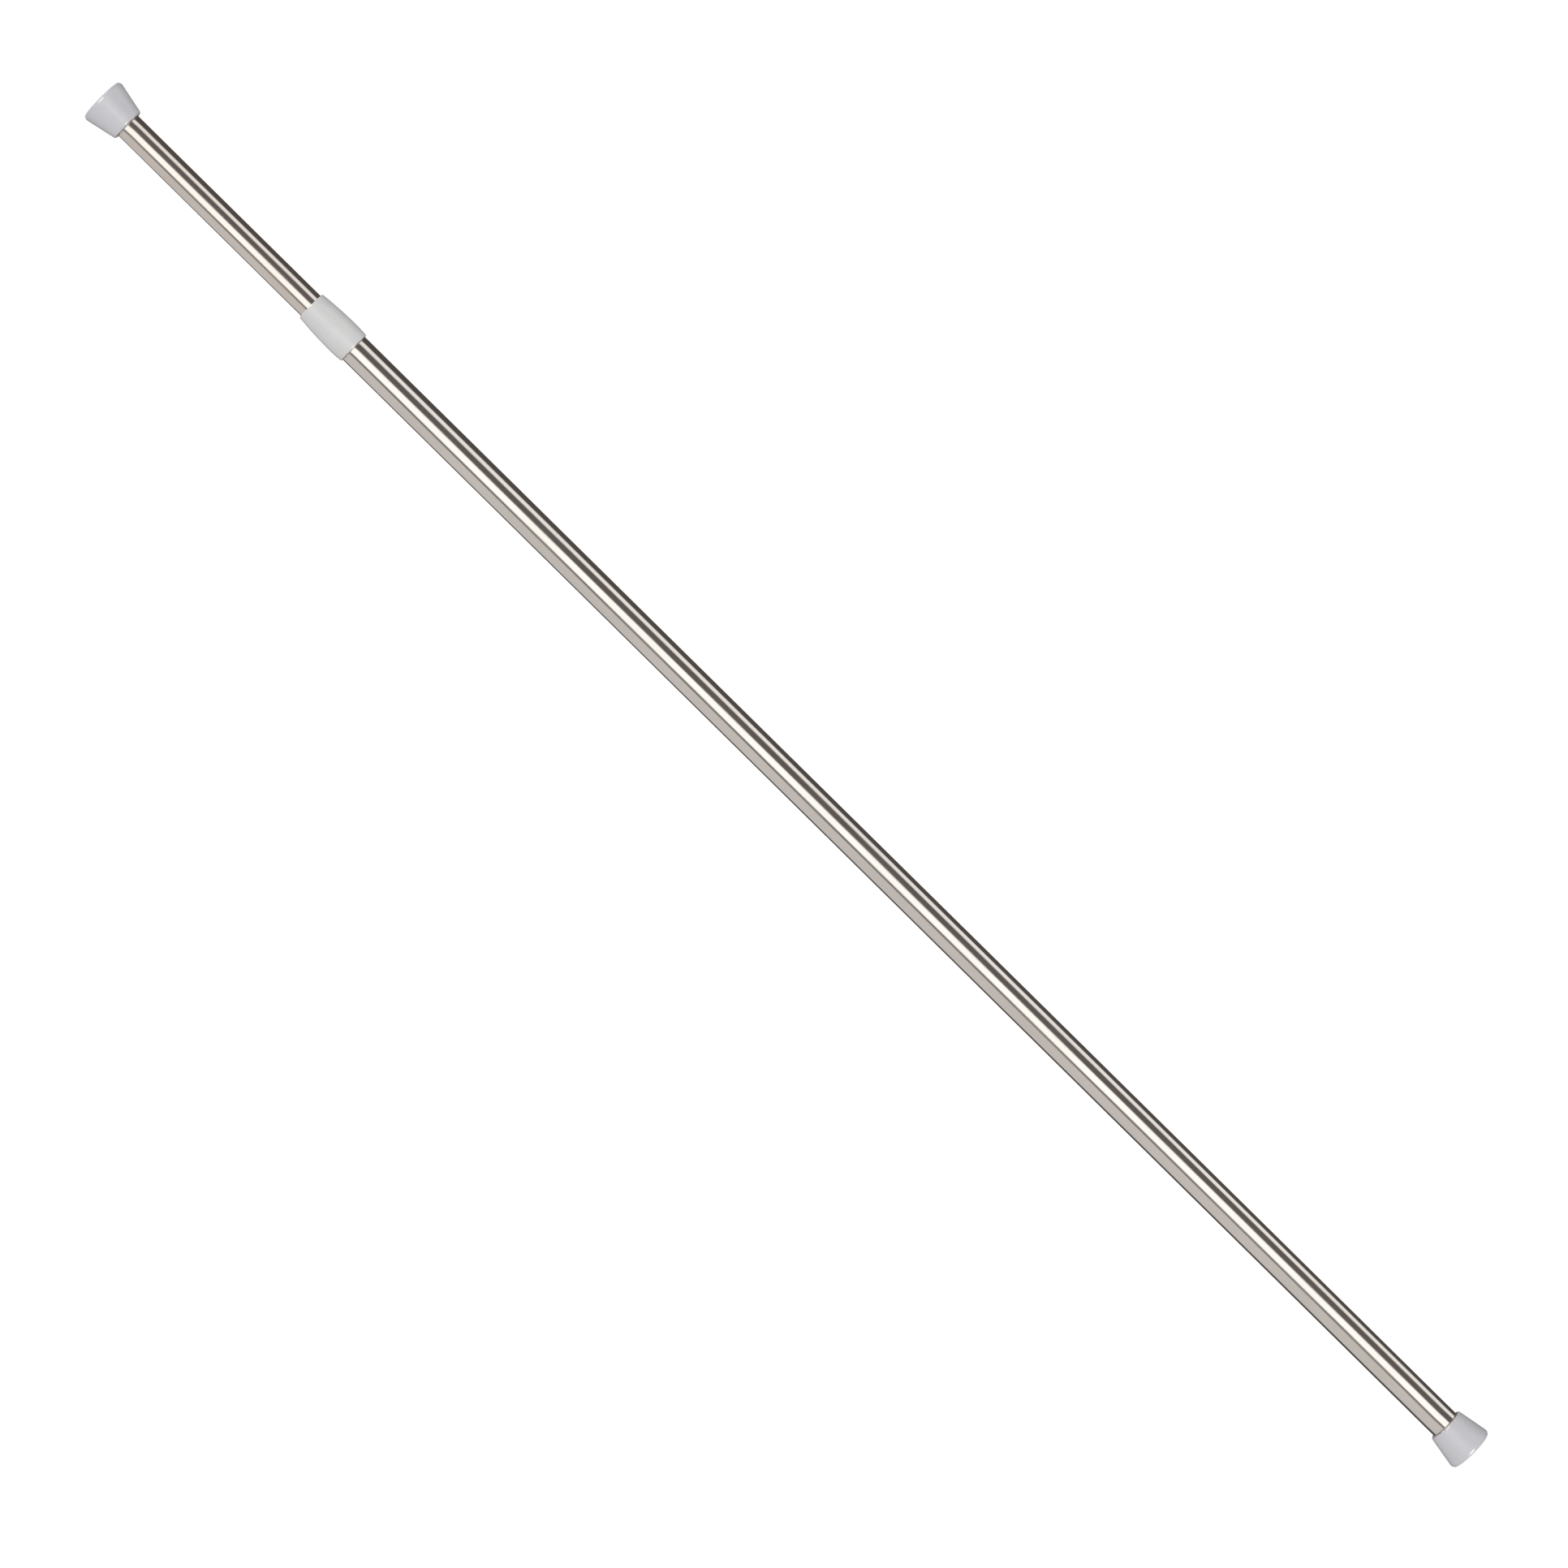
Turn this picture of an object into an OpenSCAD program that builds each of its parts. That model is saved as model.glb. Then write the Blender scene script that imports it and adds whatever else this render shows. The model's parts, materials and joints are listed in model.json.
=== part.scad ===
// Telescopic pull up bar: two tubes that slide, twist to tighten and lock between two walls.
// The bar lies along +X. The origin is the middle of the fixed foot's wall face.

/* [Tubes] */
// Outside diameter of the fixed outer tube
outer_tube_d = 25; // [25:0.1:25.4]
// Wall of the outer tube
outer_tube_wall = 0.8; // [0.7:0.05:0.85]
// Length of the outer tube
outer_tube_len = 1258; // [900:1:1258]
// Outside diameter of the sliding inner tube
inner_tube_d = 22; // [21.8:0.1:22]
// Wall of the inner tube
inner_tube_wall = 1; // [0.8:0.1:1.2]
// Length of the inner tube
inner_tube_len = 1150; // [800:10:1150]
// Bare length of inner tube between the collar and the inner foot, as drawn
exposed_inner = 201; // [30:1:700]

/* [Feet] */
// Length of a foot, its pad included
foot_len = 29; // [28:0.5:34]
// Diameter of a foot at the wall, before its rim is rounded
foot_face_d = 40.4; // [39.6:0.2:44]
// Diameter of the outer foot where the tube enters it
outer_foot_neck_d = 30.5; // [30:0.5:33]
// Diameter of the inner foot where the tube enters it
inner_foot_neck_d = 28.5; // [27:0.5:31]
// Thickness of the anti-slip pads
pad_t = 3; // [2.5:0.5:4]
// How far a pad stands out of its foot
pad_proud = 1.2; // [0.8:0.1:1.5]
// Thickness of the steel load washers
washer_t = 1.5; // [1:0.5:2]

/* [Collar] */
// Length of the collar over the mouth of the outer tube
collar_len = 47; // [40:1:60]
// Diameter at the collar's outer tube end
collar_back_d = 28; // [27.5:0.1:29]
// Largest diameter of the collar
collar_max_d = 29.3; // [29:0.1:31]
// Diameter at the collar's inner tube end
collar_front_d = 25.6; // [25.5:0.1:27]
// Length of the nylon liner inside the tube
liner_len = 40; // [25:1:60]

/* [Tensioner] */
// Outside diameter of the spindle's thread
spindle_d = 10; // [9.5:0.1:10]
// Pitch of the spindle's thread
thread_pitch = 2; // [1.5:0.5:3]
// Length that the screw can push the bar out
screw_travel = 40; // [20:1:40]
// How far the jaws move outwards to grip
jaw_travel = 0.25; // [0.15:0.05:0.25]
// Rise of the wedge cone for each millimetre along it
wedge_slope = 0.2; // [0.15:0.01:0.2]

/* [Hidden] */
$fn = 96;

run_gap = 0.05;      // radial clearance of a running fit
slot_gap = 0.15;     // clearance on each side of a sliding tongue
small_chamfer = 0.6;

// Depths measured from the wall face of a foot
pad_recess = pad_t;
foot_base_t = 4;
washer_z = pad_recess + foot_base_t;
tube_z = washer_z + washer_t;
swivel_tube_z = tube_z + 0.1;
rib_count = 6;
rib_t = 1.2;
foot_wall = 2;
pad_r = foot_face_d / 2 - 1.2;
tread_r = [8.5, 12, 15.5];
tread_w = 1;
tread_depth = 0.7;

// Places along the bar
outer_bore_r = outer_tube_d / 2 - outer_tube_wall;
inner_bore_r = inner_tube_d / 2 - inner_tube_wall;
outer_mouth_x = tube_z + outer_tube_len;
collar_cover = 26.5;                       // outer tube hidden inside the collar
liner_flange = 1.5;                        // the liner's flange, beyond the tube's mouth
collar_x = outer_mouth_x - collar_cover;
collar_end_x = collar_x + collar_len;
inner_foot_x = collar_end_x + exposed_inner;
total_len = inner_foot_x + foot_len;
inner_end_x = total_len - swivel_tube_z - inner_tube_len;

// The tensioner's places, measured along +X from the buried end of the inner tube
nut_h = 8.4;
nut_flats = 16;
carrier_len = 10;
carrier_body = 12;
cone_back = -13;
hub_len = 6;
hub_r = 9.5;
cone_len = 13;
cone_gap = 0.2;
jaw_back = cone_back - hub_len - 1.5;
jaw_len = 14;
jaw_r = outer_bore_r - jaw_travel - 0.1;
jaw_angle = 108;
cage_z = jaw_back - jaw_len - 0.5;
cage_len = 5;
neck_w = 4;
neck_len = 1.8;
head_w = 7;
head_len = 1.8;
tongue_in_r = 6.9;
tongue_out_r = 10.7;
ring_z = jaw_back - 10;
ring_t = 1.6;
groove_r = 9.5;
end_nut_h = 6;
end_nut_z = cage_z - cage_len - 0.2 - end_nut_h;
stop_z = carrier_body + screw_travel + 1;
stop_t = 1.2;
spindle_end = stop_z + stop_t + 2;
pin_d = 3;
screw_d = 4;
pivot_d = 6;

// Points of a round corner: its centre, radius, and first and last angle
function arc(centre, r, first, last, steps = 8) =
  [for (i = [0 : steps]) let (a = first + (last - first) * i / steps) centre + r * [cos(a), sin(a)]];

// Slope of a foot's side in degrees
function foot_angle(neck_d) = atan((foot_face_d - neck_d) / 2 / (foot_len - pad_proud));

// Radius of a line parallel to a foot's side and inside it by some depth, at height z
function side_r(neck_d, depth, z) =
  let (a = foot_angle(neck_d))
  foot_face_d / 2 - (z - pad_proud) * tan(a) - depth / cos(a);

// Points along one trapezoidal thread, drawn as rings at the true pitch
function thread(start, turns, crest_r, root_r) =
  let (flat = 0.366 * thread_pitch, flank = (thread_pitch - 2 * flat) / 2)
  [for (i = [0 : turns - 1], p = [[crest_r, 0], [crest_r, flat], [root_r, flat + flank],
    [root_r, 2 * flat + flank]]) [p[0], start + i * thread_pitch + p[1]]];

// Stands a shape that was drawn along +Z on the bar's axis, with its base at x
module along_bar(x) {
  translate([x, 0, 0]) rotate([0, 90, 0]) children();
}

// The same for the inner foot, which faces the other way
module from_inner_face() {
  translate([total_len, 0, 0]) rotate([0, -90, 0]) children();
}

module tube(d, wall, len) {
  difference() {
    cylinder(d = d, h = len);
    translate([0, 0, -1]) cylinder(d = d - 2 * wall, h = len + 2);
  }
}

// Cone foot with a socket for the tube, a seat for the pad and a ribbed hollow in its base
module foot_shell(neck_d, socket_r, hole_r, head_r, head_depth) {
  a = foot_angle(neck_d);
  rim = 1.1;
  neck = 1.6;
  rim_c = [side_r(neck_d, rim, pad_proud + rim), pad_proud + rim];
  neck_c = [side_r(neck_d, neck, foot_len - neck), foot_len - neck];
  hollow_in = socket_r + foot_wall;
  hollow_top = 17;
  difference() {
    rotate_extrude() polygon(concat(
      [[hole_r, pad_recess], [pad_r, pad_recess], [pad_r, pad_proud]],
      arc(rim_c, rim, -90, a),
      arc(neck_c, neck, a, 90),
      [[socket_r + small_chamfer, foot_len], [socket_r, foot_len - small_chamfer],
       [socket_r, washer_z], [hole_r, washer_z]]));
    translate([0, 0, pad_recess - 0.01]) cylinder(r = head_r, h = head_depth + 0.01);
    difference() {
      rotate_extrude() polygon([
        [hollow_in, pad_recess - 0.01], [side_r(neck_d, foot_wall, pad_recess), pad_recess - 0.01],
        [side_r(neck_d, foot_wall, hollow_top), hollow_top], [hollow_in, hollow_top]]);
      for (i = [0 : rib_count - 1]) rotate(i * 360 / rib_count)
        translate([0, -rib_t / 2, 0]) cube([foot_face_d / 2, rib_t, foot_len]);
    }
  }
}

// Soft pad with a rounded rim and broken rings of tread
module pad() {
  edge = 0.8;
  tread_arc = 78;
  difference() {
    rotate_extrude() polygon(concat(
      [[0, 0]], arc([pad_r - edge, edge], edge, -90, 0), [[pad_r, pad_t], [0, pad_t]]));
    for (r = tread_r, i = [0 : 3])
      translate([0, 0, -0.1]) rotate(i * 90 + (90 - tread_arc) / 2)
        rotate_extrude(angle = tread_arc)
          translate([r, 0]) square([tread_w, tread_depth + 0.1]);
  }
}

module washer(r, hole_r) {
  difference() {
    cylinder(r = r, h = washer_t);
    translate([0, 0, -1]) cylinder(r = hole_r, h = washer_t + 2);
  }
}

// Hard plug pressed into a tube's end, with a screw hole and a hollow back
module end_plug(r, screw_depth) {
  len = 23;
  lead = 1.5;
  difference() {
    rotate_extrude() polygon([
      [screw_d / 2, 0], [r, 0], [r, len - lead], [r - lead / 2, len], [r - 3, len],
      [r - 3, screw_depth + 2], [0, screw_depth + 2], [0, screw_depth],
      [screw_d / 2, screw_depth]]);
    for (i = [0 : 3]) rotate(i * 90)
      translate([r - 0.5, -1, -1]) cube([2, 2, len + 2]);
  }
}

// Crossed slots of a screw's drive
module cross_drive(size, depth) {
  for (turn = [0, 90]) rotate(turn)
    translate([-size / 2, -0.5, -0.01]) cube([size, 1, depth]);
}

// A ring groove of rubber-ring width cut around a jaw
module ring_groove() {
  translate([0, 0, ring_z - 1.2]) rotate_extrude()
    translate([groove_r, 0]) square([5, 2.4]);
}

// One of the three jaws, turned about the bar to its place
module jaw(turn) {
  wall_at_back = hub_r - wedge_slope * (cone_back - hub_len - jaw_back) + cone_gap;
  wall_at_front = wall_at_back - wedge_slope * jaw_len;
  front = jaw_back - jaw_len;
  along_bar(inner_end_x) rotate(turn) {
    difference() {
      rotate(-jaw_angle / 2) rotate_extrude(angle = jaw_angle) polygon([
        [wall_at_front, front], [jaw_r - small_chamfer, front], [jaw_r, front + small_chamfer],
        [jaw_r, jaw_back - small_chamfer], [jaw_r - small_chamfer, jaw_back],
        [wall_at_back, jaw_back]]);
      ring_groove();
    }
    translate([tongue_in_r, -neck_w / 2, front - neck_len])
      cube([tongue_out_r - tongue_in_r, neck_w, neck_len + 0.5]);
    translate([tongue_in_r, -head_w / 2, front - neck_len - head_len])
      cube([tongue_out_r - tongue_in_r, head_w, head_len]);
  }
}

module outer_tube() {
  color("#C9C6BF") along_bar(tube_z) tube(outer_tube_d, outer_tube_wall, outer_tube_len);
}

module inner_tube() {
  color("#BDB6AB") along_bar(inner_end_x) tube(inner_tube_d, inner_tube_wall, inner_tube_len);
}

// Smooth sleeve that swells to its largest diameter over the outer tube's mouth
module collar() {
  swell_z = 0.24 * collar_len;
  back_drop = (collar_max_d - collar_back_d) / 2;
  front_drop = (collar_max_d - collar_front_d) / 2;
  back_r = swell_z * swell_z / 2 / back_drop;
  front_r = (collar_len - swell_z) * (collar_len - swell_z) / 2 / front_drop;
  edge = 1;
  steps = 12;
  back = [for (i = [1 : steps]) let (z = edge + (swell_z - edge) * i / steps)
    [collar_max_d / 2 - (swell_z - z) * (swell_z - z) / 2 / back_r, z]];
  front = [for (i = [1 : 2 * steps]) let (z = swell_z + (collar_len - edge - swell_z) * i / 2 / steps)
    [collar_max_d / 2 - (z - swell_z) * (z - swell_z) / 2 / front_r, z]];
  back_edge_r = collar_back_d / 2 - edge + 0.1;
  front_edge_r = front[2 * steps - 1][0] - edge;
  seat_z = collar_cover + liner_flange;
  color("#D4D4D4") along_bar(collar_x) rotate_extrude() polygon(concat(
    [[outer_tube_d / 2, 0]],
    arc([back_edge_r, edge], edge, -90, 0),
    back, front,
    arc([front_edge_r, collar_len - edge], edge, 0, 90),
    [[inner_tube_d / 2 + 0.3, collar_len], [inner_tube_d / 2 + 0.3, seat_z],
     [outer_tube_d / 2, seat_z]]));
}

// Split nylon liner that centres the inner tube, with a flange that the collar holds
module guide_liner() {
  split_w = 2;
  bore_r = inner_tube_d / 2 + run_gap;
  color("#F0EEE6") along_bar(outer_mouth_x - liner_len) difference() {
    rotate_extrude() polygon([
      [bore_r, 0], [outer_bore_r, 0], [outer_bore_r, liner_len], [outer_tube_d / 2, liner_len],
      [outer_tube_d / 2, liner_len + liner_flange], [bore_r, liner_len + liner_flange]]);
    translate([0, -split_w / 2, -1]) cube([outer_tube_d, split_w, liner_len + liner_flange + 2]);
  }
}

module outer_foot() {
  color("#C7C6CC") along_bar(0)
    foot_shell(outer_foot_neck_d, outer_tube_d / 2, screw_d / 2 + 0.1, 4.3, 2.5);
}

module inner_foot() {
  color("#C7C6CC") from_inner_face()
    foot_shell(inner_foot_neck_d, inner_tube_d / 2 + run_gap, pivot_d / 2 + run_gap, 5.4, 2.2);
}

module outer_pad() {
  color("#BDBCC2") along_bar(0) pad();
}

module inner_pad() {
  color("#BDBCC2") from_inner_face() pad();
}

module outer_washer() {
  color("#A8A8A8") along_bar(washer_z) washer(outer_tube_d / 2 - 0.1, screw_d / 2 + 0.1);
}

module inner_washer() {
  color("#A8A8A8") from_inner_face() translate([0, 0, washer_z])
    washer(inner_tube_d / 2 - 0.1, pivot_d / 2 + run_gap);
}

module outer_end_plug() {
  color("#3C3C40") along_bar(tube_z) end_plug(outer_bore_r, 16);
}

module inner_end_plug() {
  color("#3C3C40") from_inner_face() translate([0, 0, swivel_tube_z]) end_plug(inner_bore_r, 16);
}

// Pan head screw that clamps the outer foot to its plug
module outer_foot_screw() {
  head_h = 2.3;
  head_z = pad_recess + 0.2;
  color("#B5B5B8") along_bar(0) difference() {
    union() {
      translate([0, 0, head_z]) cylinder(r1 = 3.4, r2 = 4, h = head_h);
      translate([0, 0, head_z]) cylinder(d = screw_d, h = tube_z + 15 - head_z);
    }
    translate([0, 0, head_z]) cross_drive(4.4, 1.4);
  }
}

// Shoulder screw that the inner foot swivels on
module inner_pivot_screw() {
  head_h = 1.8;
  head_z = pad_recess + 0.1;
  color("#B5B5B8") from_inner_face() difference() {
    union() {
      translate([0, 0, head_z]) cylinder(r = 5, h = head_h);
      translate([0, 0, head_z]) cylinder(d = pivot_d, h = swivel_tube_z - head_z);
      translate([0, 0, head_z]) cylinder(d = screw_d, h = swivel_tube_z + 15 - head_z);
    }
    translate([0, 0, head_z]) cross_drive(5, 1.2);
  }
}

// Nylon carrier pressed into the inner tube; its flange runs in the outer tube
module nut_plug() {
  flange_r = outer_bore_r - run_gap;
  clear_r = spindle_d / 2 + 0.4;
  color("#F0EEE6") along_bar(inner_end_x) difference() {
    rotate_extrude() polygon([
      [clear_r, -carrier_len], [flange_r - small_chamfer, -carrier_len],
      [flange_r, small_chamfer - carrier_len], [flange_r, 0], [inner_bore_r, 0],
      [inner_bore_r, carrier_body - small_chamfer], [inner_bore_r - small_chamfer, carrier_body],
      [clear_r, carrier_body]]);
    translate([0, 0, -carrier_len - 0.01])
      cylinder(d = nut_flats / cos(30), h = nut_h + 0.01, $fn = 6);
  }
}

module tension_nut() {
  color("#B99B57") along_bar(inner_end_x - carrier_len) difference() {
    cylinder(d = nut_flats / cos(30), h = nut_h, $fn = 6);
    translate([0, 0, -1]) cylinder(d = spindle_d + 2 * run_gap, h = nut_h + 2);
  }
}

module spindle() {
  crest_r = spindle_d / 2;
  root_r = crest_r - 0.55 * thread_pitch;
  thread_z = cone_back + 1;
  turns = floor((stop_z - 1 - thread_z) / thread_pitch);
  clip_r = crest_r - 1;
  color("#9FA1A5") along_bar(inner_end_x) difference() {
    rotate_extrude() polygon(concat(
      [[0, end_nut_z], [crest_r - small_chamfer, end_nut_z], [crest_r, end_nut_z + small_chamfer]],
      thread(thread_z, turns, crest_r, root_r),
      [[crest_r, thread_z + turns * thread_pitch], [crest_r, stop_z], [clip_r, stop_z],
       [clip_r, stop_z + stop_t], [crest_r, stop_z + stop_t],
       [crest_r, spindle_end - small_chamfer], [crest_r - small_chamfer, spindle_end],
       [0, spindle_end]]));
    pin_hole();
  }
}

module pin_hole() {
  translate([0, 0, cone_back - hub_len / 2]) rotate([90, 0, 0])
    cylinder(d = pin_d, h = 3 * hub_r, center = true);
}

module wedge_cone() {
  hub_front = cone_back - hub_len;
  color("#8D8F93") along_bar(inner_end_x) difference() {
    rotate_extrude() polygon([
      [spindle_d / 2, hub_front - cone_len],
      [hub_r - wedge_slope * cone_len, hub_front - cone_len], [hub_r, hub_front],
      [hub_r, cone_back], [spindle_d / 2, cone_back]]);
    pin_hole();
  }
}

module wedge_pin() {
  color("#6F7175") along_bar(inner_end_x) translate([0, 0, cone_back - hub_len / 2])
    rotate([90, 0, 0]) cylinder(d = pin_d, h = 2 * hub_r - 1, center = true);
}

// Clip in the spindle's groove that the nut carrier meets at full extension
module travel_stop() {
  clip_r = spindle_d / 2 - 1;
  mouth_w = 6.4;
  color("#6F7175") along_bar(inner_end_x + stop_z) difference() {
    cylinder(r = spindle_d / 2 + 3, h = stop_t);
    translate([0, 0, -1]) cylinder(r = clip_r, h = stop_t + 2);
    translate([0, -mouth_w / 2, -1]) cube([spindle_d, mouth_w, stop_t + 2]);
  }
}

module end_nut() {
  color("#B5B5B8") along_bar(inner_end_x + end_nut_z) difference() {
    cylinder(d = nut_flats / cos(30), h = end_nut_h, $fn = 6);
    translate([0, 0, -1]) cylinder(d = spindle_d, h = end_nut_h + 2);
  }
}

// Carrier that runs in the outer tube, with three T slots open to the outside for the jaws
module jaw_cage() {
  flange_r = outer_bore_r - run_gap;
  slot_r = tongue_in_r - 0.4;
  color("#55565A") along_bar(inner_end_x) difference() {
    translate([0, 0, cage_z - cage_len]) cylinder(r = flange_r, h = cage_len);
    translate([0, 0, cage_z - cage_len - 1])
      cylinder(d = spindle_d + 2 * run_gap, h = cage_len + 2);
    for (i = [0 : 2]) rotate(i * 120 + 60) {
      translate([slot_r, -neck_w / 2 - slot_gap, cage_z - neck_len])
        cube([flange_r, neck_w + 2 * slot_gap, neck_len + 1]);
      translate([slot_r, -head_w / 2 - slot_gap, jaw_back - jaw_len - neck_len - head_len - slot_gap])
        cube([flange_r, head_w + 2 * slot_gap, head_len + 2 * slot_gap]);
    }
  }
}

module jaw_ring() {
  color("#2B2B2D") along_bar(inner_end_x + ring_z) rotate_extrude()
    translate([groove_r + jaw_travel + 0.05 + ring_t / 2, 0]) circle(d = ring_t);
}

module jaw_top() { color("#707276") jaw(180); }
module jaw_left() { color("#707276") jaw(60); }
module jaw_right() { color("#707276") jaw(300); }

outer_tube();
collar();
guide_liner();
outer_end_plug();
outer_washer();
outer_foot();
outer_pad();
outer_foot_screw();
inner_tube();
nut_plug();
tension_nut();
inner_end_plug();
inner_pivot_screw();
inner_foot();
inner_washer();
inner_pad();
spindle();
wedge_cone();
wedge_pin();
travel_stop();
end_nut();
jaw_cage();
jaw_ring();
jaw_top();
jaw_left();
jaw_right();
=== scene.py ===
"""Looks of the telescopic pull up bar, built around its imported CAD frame.

The bar lies along +X: the fixed foot's wall face is at x = 0 and the sliding foot's is at the far end.
Lengths are in metres and angles in degrees unless a name says otherwise.
"""

import json
import math

import bpy
from mathutils import Matrix, Vector


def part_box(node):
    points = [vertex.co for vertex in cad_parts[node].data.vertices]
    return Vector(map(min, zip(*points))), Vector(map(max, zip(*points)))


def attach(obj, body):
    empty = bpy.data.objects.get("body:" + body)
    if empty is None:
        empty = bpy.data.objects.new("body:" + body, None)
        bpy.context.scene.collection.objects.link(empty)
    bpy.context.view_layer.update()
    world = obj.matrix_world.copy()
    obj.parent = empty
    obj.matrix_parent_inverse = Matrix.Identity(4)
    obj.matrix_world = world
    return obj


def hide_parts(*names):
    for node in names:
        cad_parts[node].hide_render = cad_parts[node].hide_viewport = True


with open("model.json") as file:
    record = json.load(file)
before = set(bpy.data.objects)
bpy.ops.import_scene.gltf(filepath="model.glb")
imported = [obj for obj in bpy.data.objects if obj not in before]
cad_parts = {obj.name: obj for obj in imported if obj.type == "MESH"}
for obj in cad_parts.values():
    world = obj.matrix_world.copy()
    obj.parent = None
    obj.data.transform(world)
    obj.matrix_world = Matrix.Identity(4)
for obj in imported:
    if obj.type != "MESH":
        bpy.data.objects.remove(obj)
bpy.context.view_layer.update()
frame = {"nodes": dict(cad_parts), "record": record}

MM = 0.001
TURN = 2 * math.pi

# ---------------------------------------------------------------- places and sizes, from the frame


def span(node):
    """Where a CAD node starts and ends along the bar."""
    low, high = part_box(node)
    return low.x, high.x


def radius(node):
    """Largest distance of a CAD node from the bar's axis."""
    low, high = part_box(node)
    return max(high.y, high.z)


OUTER_TUBE = span("outer_tube")
INNER_TUBE = span("inner_tube")
COLLAR = span("collar")
LINER_END = span("guide_liner")[1]
FOOT_FACES = {"outer_foot": span("outer_pad")[0], "inner_foot": span("inner_pad")[1]}
FOOT_NECKS = {"outer_foot": span("outer_foot")[1], "inner_foot": span("inner_foot")[0]}
BAR_LENGTH = FOOT_FACES["inner_foot"]
OUTER_R = radius("outer_tube")
INNER_R = radius("inner_tube")
OUTER_BORE_R = radius("outer_end_plug")
INNER_BORE_R = radius("inner_end_plug")
FOOT_LENGTH = FOOT_NECKS["outer_foot"]
PAD_R = radius("outer_pad")
PAD_T = span("outer_pad")[1]
FOOT_RIM = span("outer_foot")[0]
SOCKET_FLOOR = span("outer_washer")[0]

# The feet's cones, as the CAD source has them
CONE_FACE_R = 20.2 * MM
NECK_R = {"outer_foot": 15.25 * MM, "inner_foot": 14.25 * MM}
SOCKET_R = {"outer_foot": OUTER_R, "inner_foot": INNER_R + 0.05 * MM}
SCREW_HOLE_R = {"outer_foot": 2.1 * MM, "inner_foot": 3.05 * MM}
SCREW_HEAD_R = {"outer_foot": 4.3 * MM, "inner_foot": 5.4 * MM}
SCREW_HEAD_DEPTH = {"outer_foot": 2.5 * MM, "inner_foot": 2.2 * MM}

# The collar's swell
COLLAR_BACK_R = 14.0 * MM
COLLAR_MAX_R = 14.65 * MM
COLLAR_FRONT_R = 12.8 * MM
COLLAR_SWELL = 0.24

# ---------------------------------------------------------------- mesh work


def arc(centre_x, centre_r, size, first, last, steps):
    """Points (x, r) of a round corner, with angles from the +r direction towards +x."""
    points = []
    for i in range(steps + 1):
        a = math.radians(first + (last - first) * i / steps)
        points.append((centre_x + size * math.sin(a), centre_r + size * math.cos(a)))
    return points


def ring_angles(count, fine=()):
    """Angles round the bar, with extra ones close to each fine place (angle, half width)."""
    angles = {round(TURN * i / count, 6) for i in range(count)}
    for place, half in fine:
        for step in (-1.5, -1, -0.5, 0, 0.5, 1, 1.5):
            angles.add(round((place + step * half) % TURN, 6))
    return sorted(angles)


def lathe(name, outline_at, angles, poles=False):
    """A solid turned about the bar. outline_at(angle) gives its closed outline as (x, r) points.

    With poles, the outline is open and its first and last points lie on the axis.
    """
    verts, faces = [], []
    columns = []
    for a in angles:
        outline = outline_at(a)
        middle = outline[1:-1] if poles else outline
        columns.append([len(verts) + i for i in range(len(middle))])
        verts += [(x, r * math.sin(a), r * math.cos(a)) for x, r in middle]
    ends = []
    if poles:
        outline = outline_at(angles[0])
        ends = [len(verts), len(verts) + 1]
        verts += [(outline[0][0], 0, 0), (outline[-1][0], 0, 0)]
    count = len(columns[0])
    for i, column in enumerate(columns):
        after = columns[(i + 1) % len(columns)]
        for j in range(count - 1 if poles else count):
            k = (j + 1) % count
            faces.append((column[j], column[k], after[k], after[j]))
        if poles:
            faces.append((ends[0], column[0], after[0]))
            faces.append((column[-1], ends[1], after[-1]))
    mesh = bpy.data.meshes.new(name)
    mesh.from_pydata(verts, [], faces)
    mesh.validate()
    piece = bpy.data.objects.new(name, mesh)
    bpy.context.scene.collection.objects.link(piece)
    face_outwards(mesh)
    mesh.shade_smooth()
    mesh.set_sharp_from_angle(angle=math.radians(32))
    return piece


def face_outwards(mesh):
    """Turns all the faces round if the closed mesh is inside out."""
    volume = 0.0
    for p in mesh.polygons:
        corners = [mesh.vertices[v].co for v in p.vertices]
        for i in range(1, len(corners) - 1):
            volume += corners[0].dot(corners[i].cross(corners[i + 1]))
    if volume < 0:
        mesh.flip_normals()


def dress(piece, body, slot, *nodes):
    """Gives a piece its body and the look of its material slot, and hides the CAD nodes that it stands for.
    """
    piece.data.materials.clear()
    piece.data.materials.append(LOOKS[slot])
    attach(piece, body)
    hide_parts(*nodes)


# ---------------------------------------------------------------- materials


class Graph:
    """Short calls for the nodes of a material or a world."""

    def __init__(self, tree):
        self.nodes, self.links = tree.nodes, tree.links

    def join(self, source, target):
        self.links.new(source, target)

    def maths(self, operation, a, b):
        node = self.nodes.new("ShaderNodeMath")
        node.operation = operation
        for socket, value in zip(node.inputs, (a, b)):
            if isinstance(value, (int, float)):
                socket.default_value = value
            else:
                self.join(value, socket)
        return node.outputs["Value"]

    def spread(self, value, low, high, out_low, out_high):
        """Maps a value's range on to another."""
        node = self.nodes.new("ShaderNodeMapRange")
        limits = {"From Min": low, "From Max": high, "To Min": out_low, "To Max": out_high}
        for name, number in limits.items():
            node.inputs[name].default_value = number
        self.join(value, node.inputs["Value"])
        return node.outputs["Result"]

    def tones(self, value, first, second):
        """Colour that goes from first to second as value goes from 0 to 1."""
        node = self.nodes.new("ShaderNodeMix")
        node.data_type = "RGBA"
        for socket, colour in ((node.inputs["A"], first), (node.inputs["B"], second)):
            if isinstance(colour, tuple):
                socket.default_value = (*colour, 1)
            else:
                self.join(colour, socket)
        self.join(value, node.inputs["Factor"])
        return node.outputs["Result"]


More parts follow.
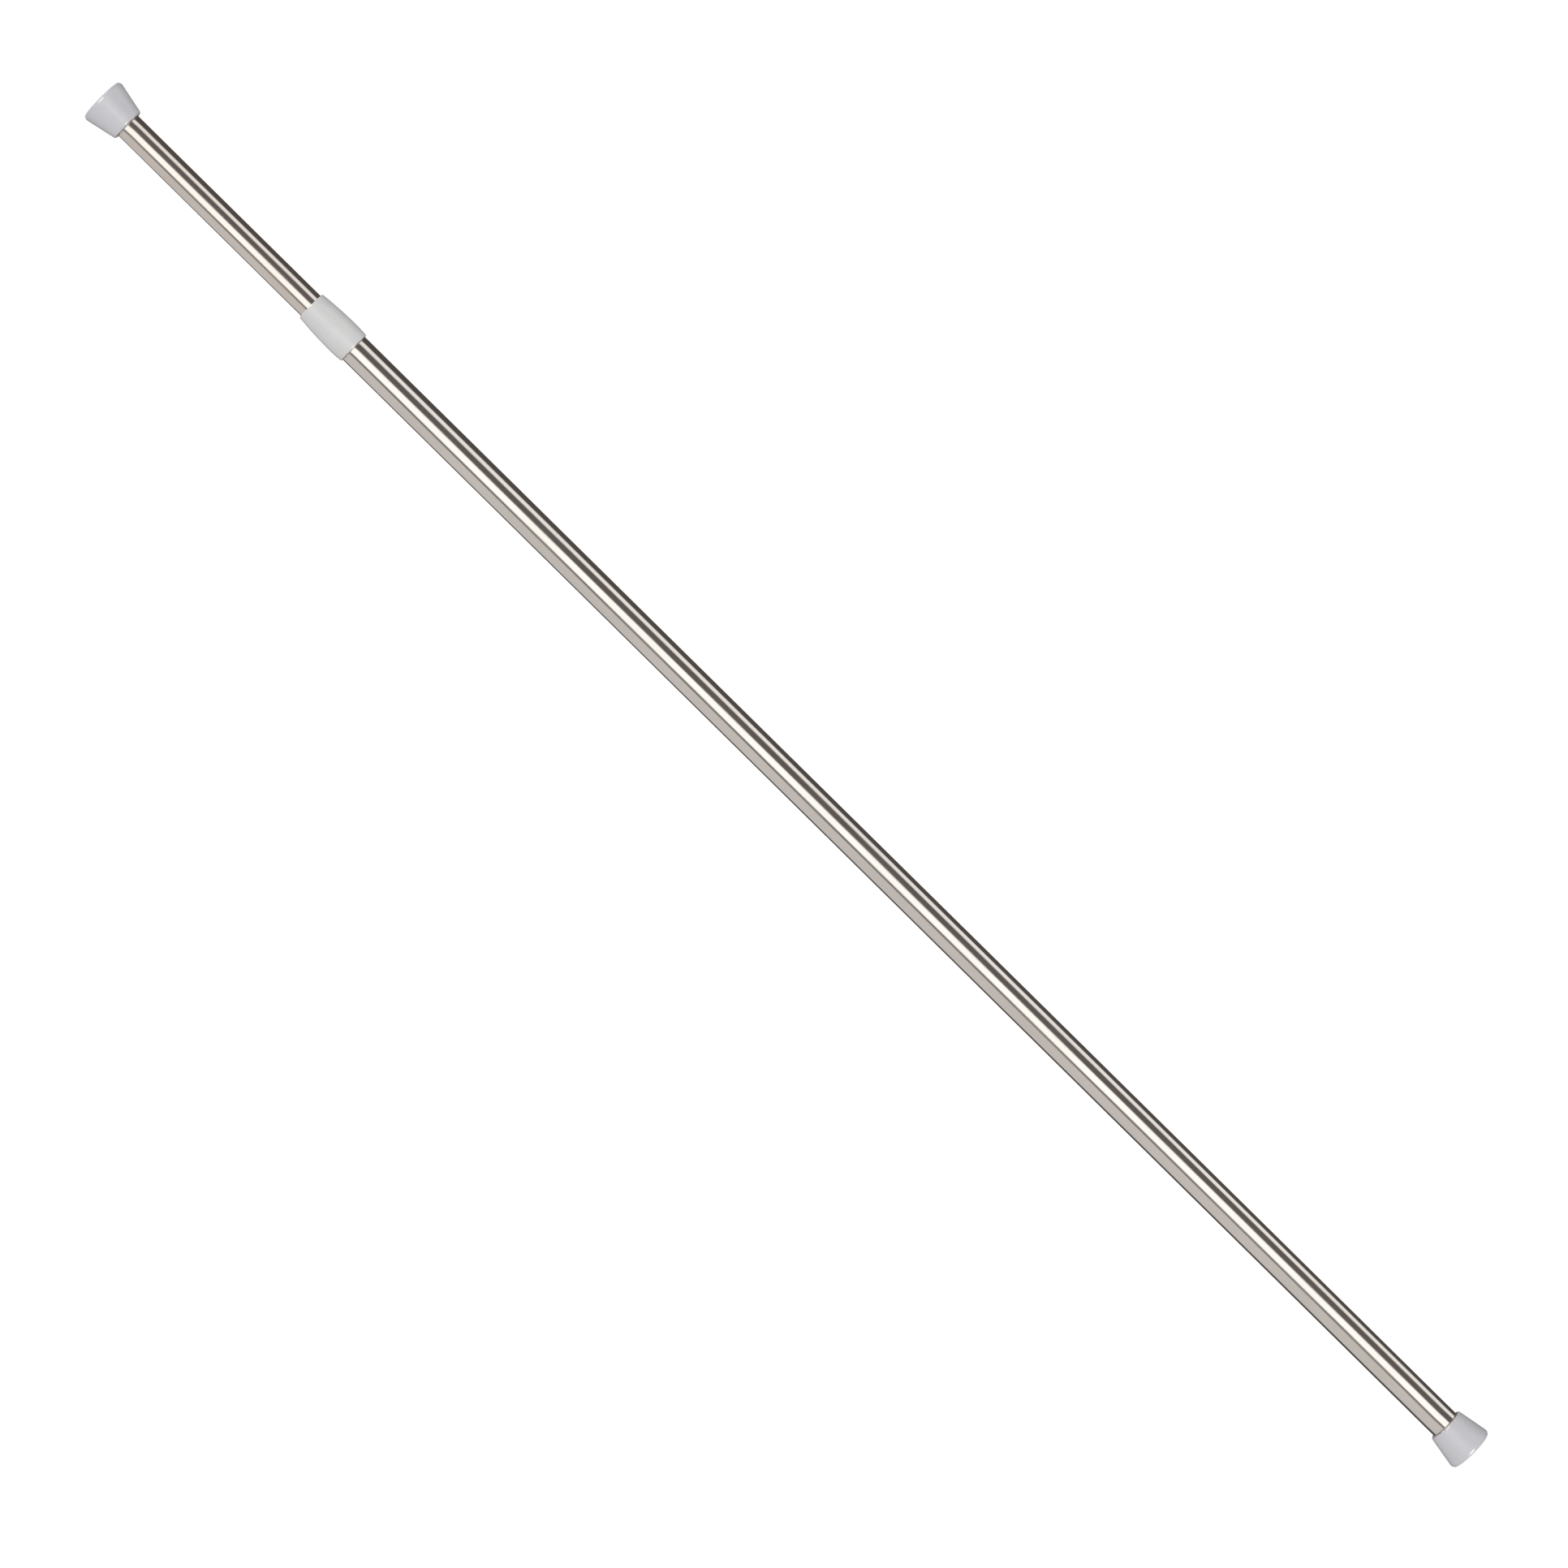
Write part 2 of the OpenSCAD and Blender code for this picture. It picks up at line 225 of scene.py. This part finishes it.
class Look(Graph):
    """One procedural material."""

    def __init__(self, name):
        self.material = bpy.data.materials.new(name)
        self.material.use_nodes = True
        super().__init__(self.material.node_tree)
        self.shader = self.nodes["Principled BSDF"]
        self.place = self.nodes.new("ShaderNodeTexCoord").outputs["Object"]

    def noise(self, scale, detail=4.0, rough=0.55):
        """Noise over the piece; scale is one number, or one for each axis in cycles per metre."""
        stretch = self.nodes.new("ShaderNodeMapping")
        stretch.inputs["Scale"].default_value = scale if isinstance(scale, tuple) else (scale,) * 3
        texture = self.nodes.new("ShaderNodeTexNoise")
        texture.inputs["Scale"].default_value = 1.0
        texture.inputs["Detail"].default_value = detail
        texture.inputs["Roughness"].default_value = rough
        self.join(self.place, stretch.inputs["Vector"])
        self.join(stretch.outputs["Vector"], texture.inputs["Vector"])
        return texture.outputs["Fac"]

    def near(self, places, width):
        """1 at some places along the bar, falling to 0 within a width of them."""
        split = self.nodes.new("ShaderNodeSeparateXYZ")
        self.join(self.place, split.inputs["Vector"])
        total = 0.0
        for x in places:
            away = self.maths("ABSOLUTE", self.maths("SUBTRACT", split.outputs["X"], x), 0.0)
            total = self.maths("ADD", self.spread(away, 0.0, width, 1.0, 0.0), total)
        return self.maths("MINIMUM", total, 1.0)

    def bump(self, height, distance, strength=1.0, under=None):
        node = self.nodes.new("ShaderNodeBump")
        node.inputs["Distance"].default_value = distance
        node.inputs["Strength"].default_value = strength
        self.join(height, node.inputs["Height"])
        if under is not None:
            self.join(under, node.inputs["Normal"])
        return node.outputs["Normal"]

    def set(self, **values):
        """Fixed values of the shader; an underscore in a name stands for a space."""
        for name, value in values.items():
            self.shader.inputs[name.replace("_", " ")].default_value = value

    def drive(self, **sources):
        for name, source in sources.items():
            self.join(source, self.shader.inputs[name.replace("_", " ")])


# Painted shade: a dark ring on the tubes where the feet and the collar meet them, standing for the shade in
# the gap at each joint
PAINTED_SHADE_TONE = (0.30, 0.27, 0.25)
PAINTED_SHADE_REACH = 1.3 * MM


def polished_tube(name, tone, worn_tone, gloss, streak, joins):
    """Bright drawn tube: drawing lines, smudges, slight waves, and a darker, rougher ring of painted shade
    where other parts meet it.
    """
    look = Look(name)
    lines = look.noise((2.5, 2600.0, 2600.0), detail=3.0, rough=0.6)
    smudges = look.noise((18.0, 60.0, 60.0), detail=5.0)
    waves = look.noise((7.0, 110.0, 110.0), detail=2.0)
    specks = look.noise(900.0, detail=2.0)
    look.set(Metallic=1.0)
    # painted shade at the joints: darkens the base colour towards the shade tone and makes the metal rougher
    # there
    painted_shade = look.near(joins, PAINTED_SHADE_REACH)
    metal = look.tones(look.spread(smudges, 0.35, 0.7, 0.0, 1.0), tone, worn_tone)
    look.drive(Base_Color=look.tones(painted_shade, metal, PAINTED_SHADE_TONE))
    streaks = look.spread(lines, 0.3, 0.7, 0.0, streak)
    marks = look.spread(smudges, 0.4, 0.75, gloss, gloss + 0.07)
    dull = look.maths("MULTIPLY", painted_shade, 0.4)
    look.drive(Roughness=look.maths("ADD", look.maths("ADD", streaks, marks), dull))
    wavy = look.bump(waves, 0.00006)
    drawn = look.bump(lines, 0.000004, under=wavy)
    look.drive(Normal=look.bump(specks, 0.000003, under=drawn))
    return look.material


def moulded(name, tone, second_tone, rough, grain, mottle=45.0):
    """Moulded plastic: soft mottling, a fine spark-eroded grain and uneven sheen."""
    look = Look(name)
    clouds = look.noise(mottle, detail=4.0)
    fine = look.noise(2400.0, detail=3.0, rough=0.65)
    flow = look.noise((130.0, 420.0, 420.0), detail=3.0)
    look.drive(Base_Color=look.tones(look.spread(clouds, 0.3, 0.7, 0.0, 1.0), tone, second_tone))
    sheen = look.spread(flow, 0.3, 0.7, rough - 0.04, rough + 0.05)
    speckle = look.spread(fine, 0.3, 0.7, 0.0, 0.05)
    look.drive(Roughness=look.maths("ADD", sheen, speckle))
    soft = look.bump(flow, 0.00002)
    look.drive(Normal=look.bump(fine, grain, under=soft))
    look.set(IOR=1.49)
    return look.material


def rubber(name, tone, second_tone):
    """Matt rubber with a dusty bloom."""
    look = Look(name)
    bloom = look.noise(160.0, detail=6.0, rough=0.7)
    fine = look.noise(3200.0, detail=3.0)
    look.drive(Base_Color=look.tones(look.spread(bloom, 0.35, 0.7, 0.0, 1.0), tone, second_tone))
    look.drive(Roughness=look.spread(bloom, 0.3, 0.7, 0.62, 0.85))
    look.drive(Normal=look.bump(fine, 0.00002))
    look.set(IOR=1.52, Sheen_Weight=0.15, Sheen_Roughness=0.5)
    return look.material


def machined(name, tone, second_tone, rough):
    """Turned or plated metal: rings from the tool, plating speckle and darker patches."""
    look = Look(name)
    rings = look.noise((5200.0, 60.0, 60.0), detail=2.0)
    patches = look.noise(240.0, detail=5.0)
    look.set(Metallic=1.0)
    look.drive(Base_Color=look.tones(look.spread(patches, 0.35, 0.7, 0.0, 1.0), tone, second_tone))
    worn = look.spread(patches, 0.3, 0.7, rough - 0.06, rough + 0.08)
    look.drive(Roughness=look.maths("ADD", worn, look.spread(rings, 0.3, 0.7, 0.0, 0.05)))
    look.drive(Normal=look.bump(rings, 0.000008))
    return look.material


LOOKS = {
    "outer_chrome": polished_tube(
        "outer_chrome",
        (0.90, 0.872, 0.81),
        (0.85, 0.82, 0.755),
        0.05,
        0.04,
        (FOOT_NECKS["outer_foot"], COLLAR[0]),
    ),
    "inner_chrome": polished_tube(
        "inner_chrome",
        (0.90, 0.853, 0.785),
        (0.84, 0.79, 0.72),
        0.06,
        0.05,
        (FOOT_NECKS["inner_foot"],),
    ),
    "foot_plastic": moulded("foot_plastic", (0.525, 0.520, 0.548), (0.505, 0.500, 0.528), 0.28, 0.00002),
    "collar_plastic": moulded("collar_plastic", (0.60, 0.60, 0.60), (0.57, 0.57, 0.572), 0.26, 0.00002),
    "pad_rubber": rubber("pad_rubber", (0.52, 0.515, 0.55), (0.57, 0.565, 0.60)),
    "nylon": moulded("nylon", (0.82, 0.80, 0.73), (0.78, 0.75, 0.68), 0.45, 0.00002),
    "dark_plastic": moulded("dark_plastic", (0.030, 0.030, 0.033), (0.045, 0.045, 0.050), 0.50, 0.00003),
    "zinc_steel": machined("zinc_steel", (0.56, 0.57, 0.58), (0.47, 0.48, 0.50), 0.30),
    "brass": machined("brass", (0.62, 0.45, 0.20), (0.54, 0.37, 0.15), 0.26),
    "black_rubber": rubber("black_rubber", (0.020, 0.020, 0.022), (0.034, 0.034, 0.036)),
}

# ---------------------------------------------------------------- the visible pieces


def tube_piece(name, ends, outer_r, bore_r):
    """A tube with slightly rounded cut ends."""
    lip = 0.2 * MM
    first, last = ends
    outline = (
        arc(first + lip, outer_r - lip, lip, -90, 0, 4)
        + [(first + (last - first) * i / 40, outer_r) for i in range(1, 40)]
        + arc(last - lip, outer_r - lip, lip, 0, 90, 4)
        + [(last, bore_r + lip), (last - lip, bore_r)]
        + [(last + (first - last) * i / 40, bore_r) for i in range(1, 40)]
        + [(first + lip, bore_r), (first, bore_r + lip)]
    )
    return lathe(name, lambda angle: outline, ring_angles(160))


PARTING_LINES = (0.25 * TURN, 0.75 * TURN)
PARTING_HALF = 0.008


def parting_rise(angle, height=0.06 * MM):
    """Height of the mould's parting line at an angle round the bar."""
    rise = 0.0
    for line in PARTING_LINES:
        away = abs((angle - line + math.pi) % TURN - math.pi) / PARTING_HALF
        rise += height * max(0.0, 1 - away)
    return rise


RIM_SOFT = 3.5 * MM    # the rim's main round
RIM_TIGHT = 0.8 * MM   # and the tighter one at its edge
RIM_BREAK = 20         # where the two meet, in degrees from straight out
NECK_ROUND = 1.6 * MM
FOOT_WALL = 2.0 * MM
HOLLOW_TOP = 17 * MM
RIB_BASE = PAD_T + 0.05 * MM
RIBS = 6
RIB_T = 1.2 * MM


def cone_lean(foot):
    """Angle between a foot's side and the bar's axis."""
    return math.atan((CONE_FACE_R - NECK_R[foot]) / (FOOT_LENGTH - FOOT_RIM))


def side_r(foot, depth, z):
    """Radius at some depth under a foot's cone, at a distance z from its wall face."""
    lean = cone_lean(foot)
    return CONE_FACE_R - (z - FOOT_RIM) * math.tan(lean) - depth / math.cos(lean)


def foot_skin(foot, rise):
    """Outline of a foot's outside from rim to neck, as (distance from the wall face, r) points."""
    lean = math.degrees(cone_lean(foot))
    change = RIM_SOFT - RIM_TIGHT
    tight_z = FOOT_RIM + RIM_TIGHT
    soft_z = tight_z + change * math.sin(math.radians(RIM_BREAK))
    soft_r = side_r(foot, RIM_SOFT, soft_z)
    tight_r = soft_r + change * math.cos(math.radians(RIM_BREAK))
    rim = arc(tight_z, tight_r, RIM_TIGHT, -90, -RIM_BREAK, 8)
    rim += arc(soft_z, soft_r, RIM_SOFT, -RIM_BREAK, lean, 8)[1:]
    neck_z = FOOT_LENGTH - NECK_ROUND
    neck = arc(neck_z, side_r(foot, NECK_ROUND, neck_z), NECK_ROUND, lean, 90, 12)
    rows = [soft_z + (neck_z - soft_z) * i / 12 for i in range(1, 12)]
    side = [(z, side_r(foot, 0, z) + rise) for z in rows if rim[-1][0] < z < neck[0][0]]
    return rim + side + neck


def foot_hollow(foot, top):
    """Outline of a foot's inside: tube socket, screw seat, and the hollow round them up to its top."""
    socket_r = SOCKET_R[foot]
    boss_r = socket_r + FOOT_WALL
    head_depth = PAD_T + SCREW_HEAD_DEPTH[foot]
    return [
        (FOOT_LENGTH, socket_r + 0.6 * MM),
        (FOOT_LENGTH - 0.6 * MM, socket_r),
        (SOCKET_FLOOR, socket_r),
        (SOCKET_FLOOR, SCREW_HOLE_R[foot]),
        (head_depth, SCREW_HOLE_R[foot]),
        (head_depth, SCREW_HEAD_R[foot]),
        (PAD_T, SCREW_HEAD_R[foot]),
        (PAD_T, boss_r),
        (top, boss_r),
        (top, max(side_r(foot, FOOT_WALL, top), boss_r + 0.1 * MM)),
        (PAD_T, side_r(foot, FOOT_WALL, PAD_T)),
    ]


def foot_piece(foot):
    """Cone foot: rounded rim and neck, socket, pad seat, ribbed hollow and parting lines."""
    face = FOOT_FACES[foot]
    way = 1 if FOOT_NECKS[foot] > face else -1
    rib_half = math.asin(RIB_T / 2 / (SOCKET_R[foot] + FOOT_WALL))
    seat = [(PAD_T, PAD_R + 0.02 * MM), (FOOT_RIM, PAD_R + 0.02 * MM)]

    def outline_at(angle):
        top = RIB_BASE if on_rib(angle, rib_half) else HOLLOW_TOP
        points = seat + foot_skin(foot, parting_rise(angle)) + foot_hollow(foot, top)
        return [(face + way * z, r) for z, r in points]

    sides = [TURN * i / RIBS + side * rib_half for i in range(RIBS) for side in (-1, 1)]
    fine = [(side % TURN, 0.002) for side in sides]
    fine += [(line, PARTING_HALF) for line in PARTING_LINES]
    return lathe(foot + "_boot", outline_at, ring_angles(144, fine))


def on_rib(angle, rib_half):
    """True where one of a foot's inner ribs stands."""
    step = TURN / RIBS
    return abs((angle + step / 2) % step - step / 2) < rib_half


TREAD_R = (8.5 * MM, 12 * MM, 15.5 * MM)
TREAD_W = 1.0 * MM
TREAD_DEPTH = 0.7 * MM
TREAD_GAP = math.radians(6)


def pad_piece(foot, name):
    """Anti-slip pad with a rounded rim and broken rings of tread."""
    face = FOOT_FACES[foot]
    way = 1 if FOOT_NECKS[foot] > face else -1
    edge = 0.8 * MM

    def outline_at(angle):
        quarter = abs((angle + TURN / 8) % (TURN / 4) - TURN / 8)
        depth = 0.02 * MM if quarter < TREAD_GAP else TREAD_DEPTH
        points = [(0.0, 0.0), (0.0, 5 * MM)]
        for r in TREAD_R:
            far = r + TREAD_W
            points += [(0.0, r), (depth, r + 0.12 * MM), (depth, far - 0.12 * MM), (0.0, far)]
        points += arc(edge, PAD_R - edge, edge, -90, 0, 8)
        points += [(PAD_T, PAD_R), (PAD_T, PAD_R / 2), (PAD_T, 0.0)]
        return [(face + way * z, r) for z, r in points]

    fine = [((TURN * i / 4 + side * TREAD_GAP) % TURN, 0.004) for i in range(4) for side in (-1, 1)]
    return lathe(name, outline_at, ring_angles(144, fine), poles=True)


def collar_piece():
    """Collar that swells over the outer tube's mouth, with a shallow ring near its back end."""
    back, front = COLLAR
    length = front - back
    swell = COLLAR_SWELL * length
    edge = 0.8 * MM
    ring_at, ring_w, ring_depth = 5.6 * MM, 0.5 * MM, 0.12 * MM
    back_drop = COLLAR_MAX_R - COLLAR_BACK_R
    front_drop = COLLAR_MAX_R - COLLAR_FRONT_R
    front_bore = INNER_R + 0.3 * MM

    def swell_r(z):
        away = (z - swell) / swell if z < swell else (z - swell) / (length - swell)
        drop = back_drop if z < swell else front_drop
        groove = ring_depth * math.exp(-(((z - ring_at) / ring_w) ** 2))
        return COLLAR_MAX_R - drop * away * away - groove

    def outline_at(angle):
        rise = parting_rise(angle, 0.05 * MM)
        skin = [edge + (length - 2 * edge) * i / 90 for i in range(91)]
        points = arc(edge, swell_r(edge) - edge, edge, -90, -6, 8)
        points += [(z, swell_r(z) + rise) for z in skin]
        points += arc(length - edge, swell_r(length - edge) - edge, edge, 6, 90, 8)
        points += [
            (length, front_bore + 0.3 * MM),
            (length - 0.3 * MM, front_bore),
            (LINER_END - back, front_bore),
            (LINER_END - back, OUTER_R),
            (0.3 * MM, OUTER_R),
            (0.0, OUTER_R + 0.3 * MM),
        ]
        return [(back + z, r) for z, r in points]

    fine = [(line, PARTING_HALF) for line in PARTING_LINES]
    return lathe("collar_sleeve", outline_at, ring_angles(144, fine))


def spindle_piece():
    """Spindle with a real right-hand trapezoidal thread that fades out at both ends."""
    start, end = span("spindle")
    crest = radius("spindle")
    pitch = 2 * MM
    thread_start = span("wedge_cone")[1] + 0.5 * MM
    stop_start, stop_end = span("travel_stop")
    thread_end = stop_start - 0.8 * MM
    depth, clip_r, tip = 1.1 * MM, crest - 1 * MM, 0.6 * MM
    rows = int((thread_end - thread_start) / (pitch / 16))

    def thread_r(x, angle):
        phase = ((x - thread_start) / pitch - angle / TURN) % 1.0
        rise = min(max((0.317 - abs(phase - 0.5)) / 0.134, 0.0), 1.0)
        fade = min((x - thread_start) / pitch, (thread_end - x) / pitch, 1.0)
        return crest - depth * (1 - rise) * max(fade, 0.0)

    def outline_at(angle):
        xs = [thread_start + (thread_end - thread_start) * i / rows for i in range(rows + 1)]
        points = [(start, 0.0), (start, crest - tip), (start + tip, crest)]
        points += [(x, thread_r(x, angle)) for x in xs]
        points += [(stop_start, crest), (stop_start, clip_r), (stop_end, clip_r), (stop_end, crest)]
        points += [(end - tip, crest), (end, crest - tip), (end, 0.0)]
        return points

    return lathe("threaded_spindle", outline_at, ring_angles(40), poles=True)


def visible_pieces():
    """The pieces that stand in for CAD nodes, each on its own body."""
    outer = tube_piece("polished_outer_tube", OUTER_TUBE, OUTER_R, OUTER_BORE_R)
    dress(outer, "outer_body", "outer_chrome", "outer_tube")
    inner = tube_piece("polished_inner_tube", INNER_TUBE, INNER_R, INNER_BORE_R)
    dress(inner, "turning_tube", "inner_chrome", "inner_tube")
    dress(foot_piece("outer_foot"), "outer_body", "foot_plastic", "outer_foot")
    dress(pad_piece("outer_foot", "outer_pad_tread"), "outer_body", "pad_rubber", "outer_pad")
    dress(foot_piece("inner_foot"), "sliding_foot", "foot_plastic", "inner_foot")
    dress(pad_piece("inner_foot", "inner_pad_tread"), "sliding_foot", "pad_rubber", "inner_pad")
    dress(collar_piece(), "outer_body", "collar_plastic", "collar")
    dress(spindle_piece(), "spindle_set", "zinc_steel", "spindle")


def paint_cad_nodes():
    """Every CAD node that stays gets the procedural material of its slot."""
    for row in frame["record"]["subparts"]:
        node = frame["nodes"][row["node"]]
        node.data.materials.clear()
        node.data.materials.append(LOOKS[row["material_slot"]])


# ---------------------------------------------------------------- studio

FLOOR_DROP = 0.75
FLOOR_SIZE = 60.0
CAMERA_HEIGHT = 5.3
CAMERA_ALONG = 0.951
CAMERA_LENS = 154.5
CAMERA_AIM = Vector((0.7587, 0.0064, 0.0))
BAR_SLANT = 135.395

# What the tubes mirror: a ring of plain studio cards. Each reaches from the one before it to an angle from
# straight up towards -Y, and has one grey all along, 1 for a lamp. A long lamp hangs overhead with dark room
# on both sides of it, a pale sheet stands at +Y, and a pale strip stands at -Y over a dark floor.
CARDS = {
    "floor_behind": (-135, 0.30),
    "pale_sheet": (-45, 0.75),
    "dark_gap": (-30, 0.40),
    "overhead_lamp": (15, 1.00),
    "dark_room": (60, 0.35),
    "pale_strip": (90, 0.90),
    "dark_floor": (180, 0.30),
}
CARD_BLUR = 5                   # degrees from the edge of a card to where it has its full grey
CARD_SLANT = 80                 # degrees that the cards turn for each unit of lengthwise lean
SLANT_LEAN = 0.2                # past this lean, either way, they turn no further
MIRROR_GAIN = 1.13              # makes up for the light that the metal takes
DARK_TINT = (0.0, 0.20, 0.20)   # how much of each colour the darkest cards lose
# The cards end where the lengthwise lean passes these, and a plain wall shows past them
CARD_ENDS = ((0.86, 0.96), (-0.86, -0.96))
WALL_GREY = 0.55

# Light on matt surfaces: this much from all round, and this much more from the bright side
EVEN_LIGHT = 0.71
SIDE_LIGHT = 0.55
BRIGHT_SIDE = Vector((0.0, 0.13, 0.99))

# A broad soft box overhead
OVERHEAD_HEIGHT = 3.2
OVERHEAD_ACROSS = 0.1
OVERHEAD_SIZE = (3.0, 1.2)
OVERHEAD_WATTS = 6.0

# Two soft boxes beyond the ends, which put the glints on the feet's rims
GLINT_OUT = 2.5
GLINT_HEIGHT = 2.6
GLINT_SIZE = (0.9, 3.2)   # along the bar and across it
GLINT_SPREAD = 30
GLINT_WATTS = 21.0


def linear(value):
    """Display grey to linear light."""
    return value / 12.92 if value <= 0.04045 else ((value + 0.055) / 1.055) ** 2.4


class Sky(Graph):
    """The world's nodes."""

    def ramp(self, place, stops):
        """Colours at angles from -180 to 180 degrees; place is the angle in turns, plus a half."""
        node = self.nodes.new("ShaderNodeValToRGB")
        points = node.color_ramp.elements
        points.remove(points[-1])
        for i, (degrees, colour) in enumerate(stops):
            point = points[0] if i == 0 else points.new(degrees / 360 + 0.5)
            point.position = degrees / 360 + 0.5
            point.color = (*colour, 1)
        self.join(place, node.inputs["Fac"])
        return node.outputs["Color"]

    def fade(self, value, low, high, first, second):
        """Goes from the first colour to the second as value goes from low to high."""
        return self.tones(self.spread(value, low, high, 0.0, 1.0), first, second)

    def background(self, colour, strength):
        node = self.nodes.new("ShaderNodeBackground")
        for name, value in (("Color", colour), ("Strength", strength)):
            if isinstance(value, (tuple, float)):
                node.inputs[name].default_value = value
            else:
                self.join(value, node.inputs[name])
        return node.outputs["Background"]

    def choose(self, test, first, second):
        node = self.nodes.new("ShaderNodeMixShader")
        self.join(test, node.inputs["Fac"])
        self.join(first, node.inputs[1])
        self.join(second, node.inputs[2])
        return node.outputs["Shader"]


def card_colour(grey):
    light = linear(grey)
    depth = max(0.0, 1 - grey)
    return tuple(light * (1 - loss * depth) for loss in DARK_TINT)


def card_stops():
    """Angles and colours of the ring of cards."""
    stops = []
    start = -180
    for end, grey in CARDS.values():
        colour = card_colour(grey)
        stops += [(start + CARD_BLUR, colour), (end - CARD_BLUR, colour)]
        start = end
    return stops


def mirrored_room(sky, parts):
    """The colour that a mirror finish shows for a direction."""
    lean = parts["X"]
    angle = sky.maths("ARCTAN2", sky.maths("MULTIPLY", parts["Y"], -1.0), parts["Z"])
    place = sky.maths("ADD", sky.maths("DIVIDE", angle, TURN), 0.5)
    held = sky.maths("MINIMUM", sky.maths("MAXIMUM", lean, -SLANT_LEAN), SLANT_LEAN)
    turned = sky.maths("ADD", place, sky.maths("MULTIPLY", held, CARD_SLANT / 360))
    colour = sky.ramp(sky.maths("FLOORED_MODULO", turned, 1.0), card_stops())
    for near, away in CARD_ENDS:
        colour = sky.fade(lean, near, away, colour, card_colour(WALL_GREY))
    return colour


def studio_world():
    """Plain white to the camera, soft light for matt surfaces, and cards for the mirror finish."""
    world = bpy.data.worlds.new("studio")
    bpy.context.scene.world = world
    world.use_nodes = True
    sky = Sky(world.node_tree)
    sky.nodes.clear()
    towards = sky.nodes.new("ShaderNodeTexCoord").outputs["Generated"]
    split = sky.nodes.new("ShaderNodeSeparateXYZ")
    sky.join(towards, split.inputs["Vector"])
    parts = split.outputs
    mirrored = sky.background(mirrored_room(sky, parts), MIRROR_GAIN)
    sideways = sky.maths("MULTIPLY", parts["Y"], SIDE_LIGHT * BRIGHT_SIDE.y)
    upwards = sky.maths("MULTIPLY", parts["Z"], SIDE_LIGHT * BRIGHT_SIDE.z)
    amount = sky.maths("ADD", sky.maths("ADD", sideways, upwards), EVEN_LIGHT)
    soft = sky.background((1.0, 0.995, 0.99, 1.0), amount)
    seen = sky.background((1.0, 1.0, 1.0, 1.0), 1.0)
    path = sky.nodes.new("ShaderNodeLightPath").outputs
    lit = sky.choose(path["Is Glossy Ray"], soft, mirrored)
    output = sky.nodes.new("ShaderNodeOutputWorld")
    sky.join(sky.choose(path["Is Camera Ray"], lit, seen), output.inputs["Surface"])


def floor():
    """Plain pale floor well below the bar, which spans a doorway and touches no floor."""
    half = FLOOR_SIZE / 2
    mesh = bpy.data.meshes.new("studio_floor")
    corners = [(-half, -half), (half, -half), (half, half), (-half, half)]
    mesh.from_pydata([(x + BAR_LENGTH / 2, y, -FLOOR_DROP) for x, y in corners], [], [(0, 1, 2, 3)])
    look = Look("pale_floor")
    look.set(Base_Color=(0.97, 0.97, 0.97, 1), Roughness=0.9, Specular_IOR_Level=0.1)
    mesh.materials.append(look.material)
    piece = bpy.data.objects.new("studio_floor", mesh)
    bpy.context.scene.collection.objects.link(piece)
    piece.visible_glossy = False
    piece.visible_diffuse = False


def soft_light(name, place, aim, size, watts, glint=False, spread=180):
    """Rectangular soft box. One that glints only shows in the sheen of the parts that face it."""
    data = bpy.data.lights.new(name, "AREA")
    data.shape = "RECTANGLE"
    data.size, data.size_y = size
    data.energy = watts
    data.spread = math.radians(spread)
    data.color = (1.0, 0.99, 0.975)
    light = bpy.data.objects.new(name, data)
    bpy.context.scene.collection.objects.link(light)
    light.location = place
    light.rotation_mode = "QUATERNION"
    light.rotation_quaternion = (Vector(aim) - Vector(place)).to_track_quat("-Z", "Y")
    light.visible_camera = False
    light.visible_glossy = glint
    light.visible_diffuse = not glint


def camera():
    """Looks down on the bar, so that it crosses the picture from the upper left to the lower right."""
    data = bpy.data.cameras.new("camera")
    data.lens = CAMERA_LENS
    data.sensor_width = 36.0
    data.clip_start, data.clip_end = 0.05, 200.0
    cam = bpy.data.objects.new("camera", data)
    bpy.context.scene.collection.objects.link(cam)
    place = Vector((CAMERA_ALONG, 0.0, CAMERA_HEIGHT))
    back = (place - CAMERA_AIM).normalized()
    along = Vector((1.0, 0.0, 0.0))
    along = (along - back * along.dot(back)).normalized()
    across = back.cross(along)
    slant = math.radians(BAR_SLANT)
    right = along * math.cos(slant) - across * math.sin(slant)
    up = along * math.sin(slant) + across * math.cos(slant)
    turn = Matrix((right, up, back)).transposed().to_4x4()
    cam.matrix_world = Matrix.Translation(place) @ turn
    bpy.context.scene.camera = cam


def studio():
    studio_world()
    floor()
    middle = (BAR_LENGTH / 2, 0.0, 0.0)
    above = (BAR_LENGTH / 2, OVERHEAD_ACROSS, OVERHEAD_HEIGHT)
    soft_light("overhead_box", above, middle, OVERHEAD_SIZE, OVERHEAD_WATTS)
    for name, face, out in (("fixed_end_glint", 0.0, -1), ("sliding_end_glint", BAR_LENGTH, 1)):
        foot_face = (face, 0.0, 0.0)
        place = (face + out * GLINT_OUT, 0.0, GLINT_HEIGHT)
        soft_light(name, place, foot_face, GLINT_SIZE, GLINT_WATTS, True, GLINT_SPREAD)
    camera()
    bpy.context.scene.view_settings.view_transform = "Standard"


paint_cad_nodes()
visible_pieces()
studio()
